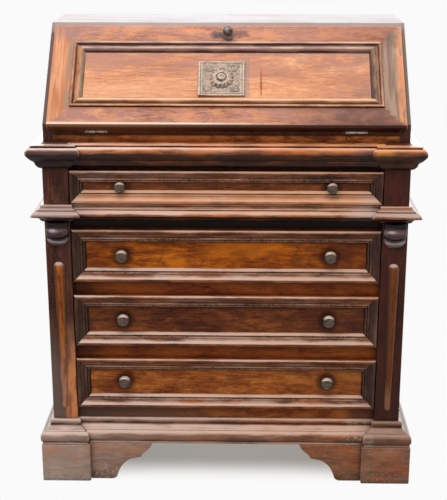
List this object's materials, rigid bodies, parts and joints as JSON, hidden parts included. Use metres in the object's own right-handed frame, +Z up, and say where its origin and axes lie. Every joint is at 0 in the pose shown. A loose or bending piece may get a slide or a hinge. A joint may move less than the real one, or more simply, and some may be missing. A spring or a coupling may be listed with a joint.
{
  "type": "secretaire chest",
  "caption": "Slant-front writing desk over a stack of long drawers, with moulded cornice, waist and base, turned knobs and cut bracket feet.",
  "frame": {"origin": "on the floor, in the middle of the chest's outline", "axes": "+Z up, -Y towards the person who opens the drawers, +X to that person's right"},
  "size_m": [0.8612, 0.4416, 1.034],
  "materials": {
    "case_wood": "dark walnut, waxed and worn",
    "moulding_wood": "dark walnut with worn pale edges",
    "drawer_wood": "walnut with a dark moulding round a brown panel",
    "fall_wood": "waxed walnut, worn lighter",
    "spindle_wood": "turned and waxed",
    "inner_wood": "plain softwood, unpolished",
    "dark_bronze": "dark patina, worn bright at the rims",
    "plate_bronze": "embossed, antique patina",
    "hinge_steel": "dull, aged"
  },
  "bodies": {
    "carcass": {"side_board_left": "case_wood", "side_board_right": "case_wood", "top_board": "case_wood", "back_panel": "case_wood", "bottom_board": "case_wood", "desk_floor": "case_wood", "drawer_frame_lower": "case_wood", "drawer_frame_middle": "case_wood", "drawer_frame_upper": "case_wood", "post_left": "case_wood", "post_right": "case_wood", "corbel_left": "moulding_wood", "corbel_right": "moulding_wood", "spindle_left": "spindle_wood", "spindle_right": "spindle_wood", "cornice_front": "moulding_wood", "cornice_left": "moulding_wood", "cornice_right": "moulding_wood", "waist_front": "moulding_wood", "waist_left": "moulding_wood", "waist_right": "moulding_wood", "base_front": "moulding_wood", "base_left": "moulding_wood", "base_right": "moulding_wood", "plinth_block_left": "moulding_wood", "plinth_block_right": "moulding_wood", "bracket_left": "moulding_wood", "bracket_right": "moulding_wood", "side_plinth_left": "moulding_wood", "side_plinth_right": "moulding_wood", "hinge_leaf_left": "hinge_steel", "hinge_leaf_right": "hinge_steel", "gallery": "inner_wood"},
    "fall": {"fall_board": "fall_wood", "fall_panel": "fall_wood", "fall_knob": "dark_bronze", "fall_plate": "plate_bronze", "hinge_strap_left": "hinge_steel", "hinge_strap_right": "hinge_steel"},
    "stay_left": {"stay_left": "hinge_steel"},
    "stay_right": {"stay_right": "hinge_steel"},
    "drawer_1": {"drawer_1_front": "drawer_wood", "drawer_1_box": "inner_wood", "drawer_1_knob_left": "dark_bronze", "drawer_1_knob_right": "dark_bronze"},
    "drawer_2": {"drawer_2_front": "drawer_wood", "drawer_2_box": "inner_wood", "drawer_2_knob_left": "dark_bronze", "drawer_2_knob_right": "dark_bronze"},
    "drawer_3": {"drawer_3_front": "drawer_wood", "drawer_3_box": "inner_wood", "drawer_3_knob_left": "dark_bronze", "drawer_3_knob_right": "dark_bronze"},
    "drawer_4": {"drawer_4_front": "drawer_wood", "drawer_4_box": "inner_wood", "drawer_4_knob_left": "dark_bronze", "drawer_4_knob_right": "dark_bronze"},
    "small_drawer_left": {"small_drawer_left": "inner_wood"},
    "small_drawer_right": {"small_drawer_right": "inner_wood"}
  },
  "joints": [
    {"name": "fall_hinge", "type": "hinge", "parent": "carcass", "child": "fall", "pos_m": [0, -0.1602, 0.8186], "axis": [1, 0, 0], "range_deg": [0, 133.3]},
    {"name": "stay_left_pivot", "type": "hinge", "parent": "fall", "child": "stay_left", "pos_m": [-0.3725, -0.07946, 0.88679], "axis": [1, 0, 0], "range_deg": [-129.4, 0]},
    {"name": "stay_right_pivot", "type": "hinge", "parent": "fall", "child": "stay_right", "pos_m": [0.3725, -0.07946, 0.88679], "axis": [1, 0, 0], "range_deg": [-129.4, 0]},
    {"name": "drawer_1_slide", "type": "slide", "parent": "carcass", "child": "drawer_1", "axis": [0, -1, 0], "range_m": [0, 0.28]},
    {"name": "drawer_2_slide", "type": "slide", "parent": "carcass", "child": "drawer_2", "axis": [0, -1, 0], "range_m": [0, 0.28]},
    {"name": "drawer_3_slide", "type": "slide", "parent": "carcass", "child": "drawer_3", "axis": [0, -1, 0], "range_m": [0, 0.28]},
    {"name": "drawer_4_slide", "type": "slide", "parent": "carcass", "child": "drawer_4", "axis": [0, -1, 0], "range_m": [0, 0.28]},
    {"name": "small_drawer_left_slide", "type": "slide", "parent": "carcass", "child": "small_drawer_left", "axis": [0, -1, 0], "range_m": [0, 0.1]},
    {"name": "small_drawer_right_slide", "type": "slide", "parent": "carcass", "child": "small_drawer_right", "axis": [0, -1, 0], "range_m": [0, 0.1]}
  ],
  "couplings": [
    {"joint": "stay_left_pivot", "follows": "fall_hinge", "ratio": -0.97},
    {"joint": "stay_right_pivot", "follows": "fall_hinge", "ratio": -0.97}
  ]
}
